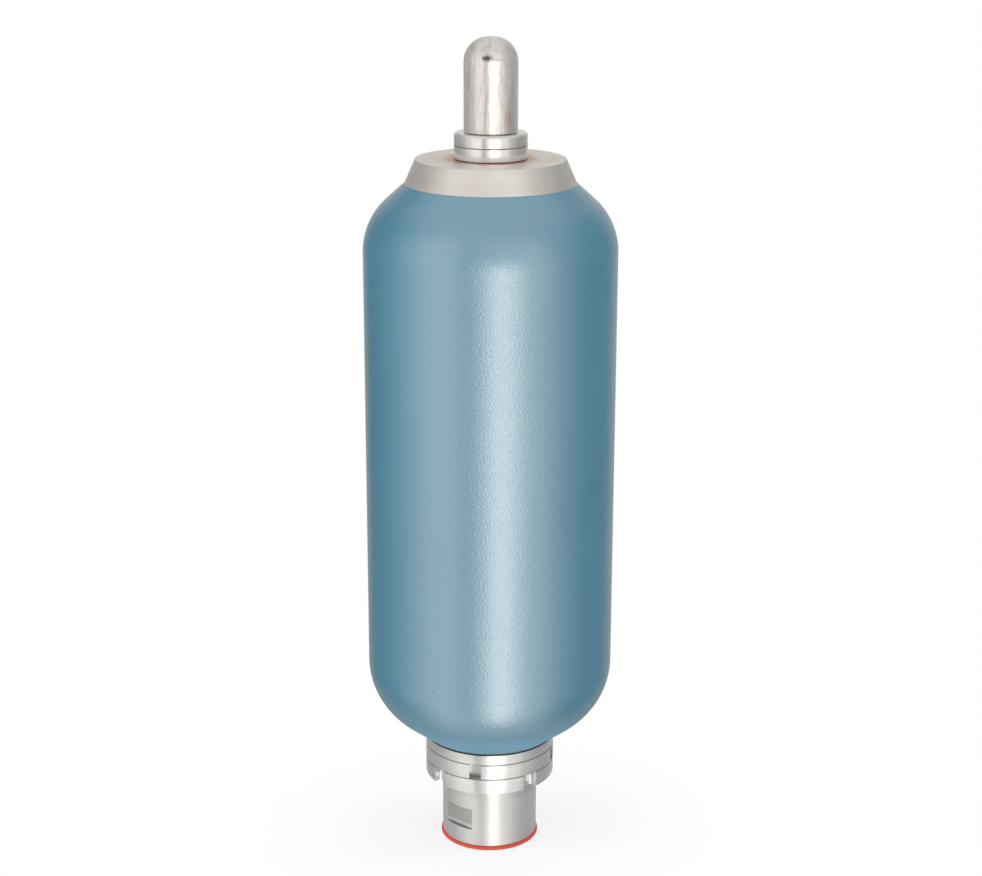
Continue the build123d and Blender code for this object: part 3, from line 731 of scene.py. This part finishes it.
# Painted shade in the groove between the collar's ring and nut, and painted shadow round the collar's foot: two
# heights, width, strength and colour
collarShadeLines = [
    (highOf("collar_ring"), highOf("collar_ring"), 0.6 * mm, 0.8, (0.30, 0.24, 0.20)),
    (lowOf("collar_ring"), lowOf("collar_ring"), 1.1 * mm, 0.95, (0.16, 0.09, 0.06)),
]
finishes = {
    "shell_paint": bluePaint(lowOf("shell")),
    "zinc_steel": shadeLinedSteel("ringSteel", ringSteelSetup, ringShadeLines),
    "cap_steel": capSteel(highOf("protective_cap")),
    "port_steel": portSteel(portReach, lowOf("port_body") + portSteelSetup["flatFoot"]),
    "inner_steel": turnedSteel("innerSteel", innerSteelSetup)[0],
    "spring_steel": cloudyFinish("springSteel", springSteel),
    "bronze": turnedSteel("bearingBronze", bronzeSetup)[0],
    "brass_core": turnedSteel("valveBrass", brassSetup)[0],
    "black_rubber": cloudyFinish("blackRubber", blackRubber),
    "white_plastic": cloudyFinish("whitePlastic", whitePlastic),
    "red_plastic": cloudyFinish("redPlastic", redPlastic),
}
bareNeck = neckSteel(reachOf("collar_ring"))
collarSteel = shadeLinedSteel("collarSteel", collarSteelSetup, collarShadeLines)
print("finishes ready")


# Geometry trees

weldGap = 1e-6
thinnest = 1e-8
poleReach = 0.005 * mm
cornerSteps = 6
sharpAngle = math.radians(28.0)


def geometryTree(name, inputs):
    tree = bpy.data.node_groups.new(name, "GeometryNodeTree")
    for label, kind in inputs.items():
        tree.interface.new_socket(label, in_out="INPUT", socket_type="NodeSocket" + kind)
    tree.interface.new_socket("Piece", in_out="OUTPUT", socket_type="NodeSocketGeometry")
    wire = Wiring(tree)
    return tree, wire, wire.put("NodeGroupInput").outputs


def finishTree(wire, given, geometry):
    # Every tree ends by realizing its instances and setting its finish
    real = wire.make("GeometryNodeRealizeInstances", {"Geometry": geometry})
    coat = wire.make("GeometryNodeSetMaterial", {"Geometry": real.outputs["Geometry"], "Material": given["Finish"]})
    wire.make("NodeGroupOutput", {"Piece": coat.outputs["Geometry"]})


def makeLatheTree():
    # Sweeps an outline round a circle of 1 m, so an outline point holds its radius less 1 m
    tree, wire, given = geometryTree("lathe", {"Outline": "Geometry", "Segments": "Int", "Finish": "Material"})
    outline = wire.make("GeometryNodeMeshToCurve", {"Mesh": given["Outline"]})
    circle = wire.make("GeometryNodeCurvePrimitiveCircle", {"Resolution": given["Segments"], "Radius": 1.0})
    sweep = wire.make("GeometryNodeCurveToMesh", {"Curve": circle.outputs["Curve"],
                                                  "Profile Curve": outline.outputs["Curve"]})
    weld = wire.make("GeometryNodeMergeByDistance", {"Geometry": sweep.outputs["Mesh"], "Distance": weldGap})
    finishTree(wire, given, weld.outputs["Geometry"])
    return tree


def makeNotchTree():
    # Cuts evenly spaced round-cornered notches into a turned ring
    numbers = ("Bearing", "Radius", "Width", "Depth", "Corner", "Bottom", "Top")
    tree, wire, given = geometryTree("notches", {"Ring": "Geometry", "Count": "Int",
                                                 **dict.fromkeys(numbers, "Float"), "Finish": "Material"})
    shape = wire.make("GeometryNodeCurvePrimitiveQuadrilateral", {"Width": wire.times(given["Depth"], 2.0),
                                                                  "Height": given["Width"]})
    corner = wire.make("GeometryNodeFilletCurve", {"Curve": shape.outputs["Curve"], "Count": cornerSteps,
                                                   "Radius": given["Corner"]}, mode="POLY")
    fill = wire.make("GeometryNodeFillCurve", {"Curve": corner.outputs["Curve"]}, mode="NGONS").outputs["Mesh"]
    lift = wire.make("GeometryNodeExtrudeMesh", {
        "Mesh": fill, "Offset Scale": wire.sums("SUBTRACT", given["Top"], given["Bottom"]), "Individual": False})
    under = wire.make("GeometryNodeFlipFaces", {"Mesh": fill})
    block = wire.make("GeometryNodeJoinGeometry", {"Geometry": lift.outputs["Mesh"]})
    wire.join(under.outputs["Mesh"], block.inputs["Geometry"])
    weld = wire.make("GeometryNodeMergeByDistance", {"Geometry": block.outputs["Geometry"], "Distance": weldGap})
    around = wire.times(wire.put("GeometryNodeInputIndex").outputs[0],
                        wire.sums("DIVIDE", 2 * math.pi, given["Count"]))
    where = wire.make("ShaderNodeCombineXYZ", {"X": wire.times(wire.sums("COSINE", around), given["Radius"]),
                                               "Y": wire.times(wire.sums("SINE", around), given["Radius"])})
    seats = wire.make("GeometryNodePoints", {"Count": given["Count"], "Position": where.outputs[0]})
    facing, turned, raised = (wire.make("ShaderNodeCombineXYZ", {"Z": source}).outputs[0]
                              for source in (around, given["Bearing"], given["Bottom"]))
    copies = wire.make("GeometryNodeInstanceOnPoints", {
        "Points": seats.outputs[0], "Instance": weld.outputs["Geometry"], "Rotation": facing})
    swing = wire.make("GeometryNodeTransform", {
        "Geometry": copies.outputs["Instances"], "Rotation": turned, "Translation": raised})
    real = wire.make("GeometryNodeRealizeInstances", {"Geometry": swing.outputs["Geometry"]})
    cut = wire.make("GeometryNodeMeshBoolean", {"Mesh 1": given["Ring"], "Mesh 2": real.outputs["Geometry"]},
                    operation="DIFFERENCE", solver="EXACT")
    finishTree(wire, given, cut.outputs["Mesh"])
    return tree


latheTree = makeLatheTree()
notchTree = makeNotchTree()


def runTree(name, mesh, tree, **values):
    # Runs one tree on a mesh and returns the result as a plain mesh
    holder = bpy.data.objects.new(name + "Maker", mesh)
    bpy.context.scene.collection.objects.link(holder)
    modifier = holder.modifiers.new("maker", "NODES")
    modifier.node_group = tree
    for item in tree.interface.items_tree:
        if item.in_out == "INPUT" and item.name in values:
            modifier[item.identifier] = values[item.name]
    bpy.context.view_layer.update()
    depsgraph = bpy.context.evaluated_depsgraph_get()
    made = bpy.data.meshes.new_from_object(holder.evaluated_get(depsgraph))
    bpy.data.objects.remove(holder)
    made.name = name
    return made


def tidyMesh(mesh):
    # Closes doubles, points the faces outwards and keeps the turned edges crisp
    shape = bmesh.new()
    shape.from_mesh(mesh)
    bmesh.ops.remove_doubles(shape, verts=shape.verts, dist=weldGap)
    bmesh.ops.dissolve_degenerate(shape, edges=shape.edges, dist=thinnest)
    bmesh.ops.recalc_face_normals(shape, faces=shape.faces)
    shape.to_mesh(mesh)
    shape.free()
    mesh.shade_smooth()
    mesh.set_sharp_from_angle(angle=sharpAngle)
    return mesh


# Outlines, as lists of (radius, height)

def arcPoints(centre, radius, fromDegrees, toDegrees, steps):
    points = []
    for step in range(steps + 1):
        angle = math.radians(fromDegrees + (toDegrees - fromDegrees) * step / steps)
        points.append((centre[0] + radius * math.cos(angle), centre[1] + radius * math.sin(angle)))
    return points


def softCorners(corners, closed=True, steps=4):
    # Each corner is (radius, height) or (radius, height, edge round)
    points = []
    last = len(corners) - 1
    for index, corner in enumerate(corners):
        here = Vector(corner[:2])
        edge = corner[2] if len(corner) > 2 else 0.0
        if edge == 0.0 or (not closed and index in (0, last)):
            points.append(tuple(here))
            continue
        before = (Vector(corners[index - 1][:2]) - here).normalized()
        after = (Vector(corners[(index + 1) % len(corners)][:2]) - here).normalized()
        half = before.angle(after) / 2
        centre = here + (before + after).normalized() * (edge / math.sin(half))
        start = here + before * (edge / math.tan(half)) - centre
        finish = here + after * (edge / math.tan(half)) - centre
        sweep = start.angle_signed(finish)
        for step in range(steps + 1):
            turn = -sweep * step / steps
            across = start.x * math.cos(turn) - start.y * math.sin(turn)
            along = start.x * math.sin(turn) + start.y * math.cos(turn)
            points.append((centre.x + across, centre.y + along))
    return points


def lathe(name, outline, finish, segments=256, closed=True):
    mesh = bpy.data.meshes.new(name + "Outline")
    count = len(outline)
    edges = [(index, index + 1) for index in range(count - 1)]
    if closed:
        edges.append((count - 1, 0))
    mesh.from_pydata([(radius - 1.0, -height, 0.0) for radius, height in outline], edges, [])
    turned = runTree(name, mesh, latheTree, Segments=segments, Finish=finish)
    for corner in turned.vertices:
        # Points next to the axis are set on it, so that the poles close
        if math.hypot(corner.co.x, corner.co.y) < poleReach:
            corner.co.x = corner.co.y = 0.0
    return tidyMesh(turned)


def addPiece(name, mesh, slot, *nodes):
    piece = bpy.data.objects.new(name, mesh)
    bpy.context.scene.collection.objects.link(piece)
    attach(piece, body)
    if nodes:
        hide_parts(*nodes)
    return piece


# Shell

shell = {
    "wall": 6.5 * mm,
    "upperShoulder": 45.2 * mm,
    "upperSlope": 48.0,
    "lowerShoulder": 51.0 * mm,
    "lowerSlope": 52.0,
    "neckEdge": 45.0 * mm,
    "neckThickness": 12.5 * mm,
    "lowerBore": 39.0 * mm,
    "coneBase": 56.4 * mm,
    "coneTop": 49.45 * mm,
    "coneHeight": 15.9 * mm,
    "upperBore": 14.3 * mm,
    "upperThickness": 13.2 * mm,
    "edge": 0.5 * mm,
    "edgeLean": 0.15 * mm,
    "coneEdge": 0.3 * mm,
    "rimEdge": 0.6 * mm,
    "outerSteps": 36,
    "innerSteps": 24,
    "levelNormal": 0.98,
    "rimSlack": 0.05 * mm,
}


def slopeRise(radius, centre, angle, reach):
    turn = math.radians(angle)
    return radius * math.sin(turn) + (centre + radius * math.cos(turn) - reach) / math.tan(turn)


def slopeReach(radius, centre, angle, rise):
    turn = math.radians(angle)
    return centre + radius * math.cos(turn) - (rise - radius * math.sin(turn)) * math.tan(turn)


def makeShell():
    # Painted vessel with a bare machined cone on its upper neck
    bottom, top, outer = lowOf("shell"), highOf("shell"), reachOf("shell")
    upper, lower = shell["upperShoulder"], shell["lowerShoulder"]
    upperAngle, lowerAngle = shell["upperSlope"], shell["lowerSlope"]
    upperCentre, lowerCentre = outer - upper, outer - lower
    coneLow = top - shell["coneHeight"]
    barrelLow = bottom + slopeRise(lower, lowerCentre, lowerAngle, shell["neckEdge"])
    barrelHigh = coneLow - slopeRise(upper, upperCentre, upperAngle, shell["coneBase"])
    seat, ringSeat = top - shell["upperThickness"], bottom + shell["neckThickness"]
    innerUpper, innerLower = upper - shell["wall"], lower - shell["wall"]
    edge = shell["edge"]
    points = [(shell["lowerBore"], bottom), (shell["neckEdge"] - edge, bottom),
              (shell["neckEdge"] + shell["edgeLean"], bottom + edge)]
    points += arcPoints((lowerCentre, barrelLow), lower, -lowerAngle, 0.0, shell["outerSteps"])
    points += arcPoints((upperCentre, barrelHigh), upper, 0.0, upperAngle, shell["outerSteps"])
    points += softCorners([points[-1], (shell["coneBase"], coneLow, shell["coneEdge"]),
                           (shell["coneTop"], top, shell["rimEdge"]), (shell["upperBore"], top)], closed=False)[1:]
    points += [(shell["upperBore"], seat)]
    points += [(slopeReach(innerUpper, upperCentre, upperAngle, seat - barrelHigh), seat)]
    points += arcPoints((upperCentre, barrelHigh), innerUpper, upperAngle, 0.0, shell["innerSteps"])
    points += arcPoints((lowerCentre, barrelLow), innerLower, 0.0, -lowerAngle, shell["innerSteps"])
    points += [(slopeReach(innerLower, lowerCentre, lowerAngle, barrelLow - ringSeat), ringSeat)]
    points += [(shell["lowerBore"], ringSeat)]
    mesh = lathe("shell", points, finishes["shell_paint"])
    mesh.materials.append(bareNeck)
    mesh.materials.append(finishes["inner_steel"])
    for face in mesh.polygons:
        centre = face.center
        inward = face.normal.x * centre.x + face.normal.y * centre.y < 0
        level = abs(face.normal.z) > shell["levelNormal"]
        if centre.z > coneLow and not inward and not level or centre.z > top - shell["rimSlack"]:
            face.material_index = 1
        elif inward or level:
            face.material_index = 2
    addPiece("shell_body", mesh, "shell_paint", "shell")


makeShell()
print("shell made")


# Gas side

collar = {"lowEdge": 0.55 * mm, "groove": 0.45 * mm, "bore": 14.1 * mm, "chamfer": 1.2 * mm,
          "chamferEdge": 0.3 * mm}
cap = {"corner": 15.8 * mm, "wall": 2.4 * mm, "mouthEdge": 0.35 * mm, "thread": 14.1 * mm,
       "threadLength": 10.0 * mm, "innerSteps": 20, "outerSteps": 32, "segments": 224}


def makeCollar():
    reach = reachOf("collar_ring")
    low, high = lowOf("collar_ring"), highOf("collar_ring")
    outline = softCorners([(collar["bore"], low), (reach, low, collar["lowEdge"]),
                           (reach, high, collar["groove"]), (collar["bore"], high)])
    addPiece("collar_lower_ring", lathe("collarRing", outline, collarSteel), "zinc_steel", "collar_ring")
    low, high = lowOf("collar_nut"), highOf("collar_nut")
    outline = softCorners([(collar["bore"], low), (reach, low, collar["groove"]),
                           (reach, high - collar["chamfer"], collar["chamferEdge"]),
                           (reach - collar["chamfer"], high, collar["chamferEdge"]),
                           (collar["bore"], high)])
    addPiece("collar_upper_nut", lathe("collarNut", outline, collarSteel), "zinc_steel", "collar_nut")


def makeCap():
    low, high, reach = lowOf("protective_cap"), highOf("protective_cap"), reachOf("protective_cap")
    corner, wall = cap["corner"], cap["wall"]
    centre = (reach - corner, high - corner)
    points = [(0.0, high - wall)]
    points += arcPoints(centre, corner - wall, 90.0, 0.0, cap["innerSteps"])
    points += [(reach - wall, low + cap["threadLength"]), (cap["thread"], low + cap["threadLength"]),
               (cap["thread"], low), (reach - cap["mouthEdge"], low), (reach, low + cap["mouthEdge"])]
    points += arcPoints(centre, corner, 0.0, 90.0, cap["outerSteps"])
    points += [(0.0, high)]
    mesh = lathe("gasCap", points, finishes["cap_steel"], cap["segments"], closed=False)
    addPiece("gas_cap", mesh, "cap_steel", "protective_cap")


makeCollar()
makeCap()
print("gas side made")


# Fluid side

rings = {"edge": 0.4 * mm, "bore": 33.2 * mm, "spigot": 38.95 * mm, "spigotHeight": 3.0 * mm}
slots = {"count": 4, "width": 8.3 * mm, "depth": 5.5 * mm, "corner": 0.25 * mm, "bearing": -13.0}
notches = {"count": 4, "width": 11.0 * mm, "depth": 6.0 * mm, "corner": 2.5 * mm, "bearing": -51.0}
flats = {"count": 2, "width": 66.0 * mm, "depth": 2.1 * mm, "corner": 0.05 * mm, "bearing": -42.0,
         "above": portSteelSetup["flatFoot"], "height": 15.5 * mm}
port = {"edge": 0.8 * mm, "threadBore": 19.48 * mm, "threadDepth": 25.0 * mm, "passage": 18.5 * mm,
        "chamber": 24.0 * mm, "seatDepth": 5.0 * mm, "flange": 38.4 * mm, "flangeHeight": 10.0 * mm,
        "flangeEdge": 2.0 * mm, "webHigh": 57.5 * mm, "webThickness": 12.0 * mm, "hub": 10.01 * mm,
        "hubBore": 8.11 * mm, "arm": 6.0 * mm, "arms": 4, "overlap": 0.5 * mm, "segments": 288, "hubSegments": 96}


def cutNotches(name, mesh, setup, radius, bottom, top, finish):
    made = runTree(name, mesh, notchTree, Count=setup["count"], Bearing=math.radians(setup["bearing"] - 90),
                   Radius=radius, Width=setup["width"], Depth=setup["depth"], Corner=setup["corner"],
                   Bottom=bottom, Top=top, Finish=finish)
    return tidyMesh(made)


def makeRings():
    steel = finishes["zinc_steel"]
    reach, edge = reachOf("spacer_ring"), rings["edge"]
    low = lowOf("spacer_ring")
    high = lowOf("shell")
    outline = softCorners([(rings["bore"], low), (reach, low, edge), (reach, high, edge),
                           (rings["spigot"], high), (rings["spigot"], high + rings["spigotHeight"]),
                           (rings["bore"], high + rings["spigotHeight"])])
    addPiece("spacer", lathe("spacer", outline, steel), "zinc_steel", "spacer_ring")
    for name, node, setup in (("ring_nut", "slotted_nut", slots), ("ring_lock_nut", "lock_nut", notches)):
        low, high = lowOf(node), highOf(node)
        outline = softCorners([(rings["bore"], low), (reach, low, edge), (reach, high, edge),
                               (rings["bore"], high)])
        ring = lathe(name + "Blank", outline, steel)
        over = setup["depth"]
        ring = cutNotches(name, ring, setup, reach, low - over, high + over, steel)
        addPiece(name, ring, "zinc_steel", node)


def makePortBody():
    low, high = lowOf("port_body"), highOf("port_body")
    tube = portReach
    webHigh = low + port["webHigh"]
    under = high - port["flangeHeight"]
    outline = softCorners([
        (port["threadBore"], low), (tube, low, port["edge"]), (tube, under), (port["flange"], under),
        (port["flange"], high, port["flangeEdge"]), (port["chamber"] + port["seatDepth"], high),
        (port["chamber"], high - port["seatDepth"]), (port["chamber"], webHigh), (port["passage"], webHigh),
        (port["passage"], low + port["threadDepth"]), (port["threadBore"], low + port["threadDepth"])])
    steel = finishes["port_steel"]
    blank = lathe("portBlank", outline, steel, port["segments"])
    bottom = low + flats["above"]
    milled = cutNotches("port", blank, flats, tube, bottom, bottom + flats["height"], steel)
    shape = bmesh.new()
    shape.from_mesh(milled)
    webLow = webHigh - port["webThickness"]
    hub = lathe("hub", [(port["hubBore"], webLow), (port["hub"], webLow), (port["hub"], webHigh),
                        (port["hubBore"], webHigh)], steel, port["hubSegments"])
    shape.from_mesh(hub)
    for index in range(port["arms"]):
        around = math.radians(flats["bearing"] - 90 + index * 360 / port["arms"])
        reach = (port["hub"] - port["overlap"], port["passage"] + port["overlap"])
        corners = []
        for height in (webLow, webHigh):
            for out, side in ((reach[0], -1), (reach[1], -1), (reach[1], 1), (reach[0], 1)):
                across = side * port["arm"] / 2
                x = out * math.cos(around) - across * math.sin(around)
                y = out * math.sin(around) + across * math.cos(around)
                corners.append(shape.verts.new((x, y, height)))
        for face in ((3, 2, 1, 0), (4, 5, 6, 7), (0, 1, 5, 4), (1, 2, 6, 5), (2, 3, 7, 6), (3, 0, 4, 7)):
            shape.faces.new([corners[corner] for corner in face])
    shape.to_mesh(milled)
    shape.free()
    milled.shade_smooth()
    milled.set_sharp_from_angle(angle=sharpAngle)
    addPiece("fluid_port_body", milled, "port_steel", "port_body")


plug = {"edge": 1.1 * mm, "spigot": 19.18 * mm, "wall": 3.0 * mm, "spigotHeight": 11.5 * mm,
        "flangeHeight": 2.5 * mm, "footEdge": 0.4 * mm, "insideEdge": 1.0 * mm}


def makePlug():
    low, reach = lowOf("transit_plug"), reachOf("transit_plug")
    face = low + plug["flangeHeight"]
    top = face + plug["spigotHeight"]
    edge = plug["edge"]
    inside = plug["spigot"] - plug["wall"]
    outline = softCorners([(0.0, top), (plug["spigot"], top, edge), (plug["spigot"], face, plug["footEdge"]),
                           (reach, face, edge), (reach, low, edge), (inside, low, plug["footEdge"]),
                           (inside, top - plug["wall"], plug["insideEdge"]), (0.0, top - plug["wall"])], closed=False)
    mesh = lathe("redPlug", outline, finishes["red_plastic"], closed=False)
    addPiece("red_plug", mesh, "red_plastic", "transit_plug")


makeRings()
makePortBody()
makePlug()
print("fluid side made")


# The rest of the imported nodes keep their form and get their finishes

for entry in frame["record"]["subparts"]:
    node = frame["nodes"][entry["node"]]
    node.data.materials.clear()
    node.data.materials.append(finishes[entry["material_slot"]])
print("inner pieces finished")
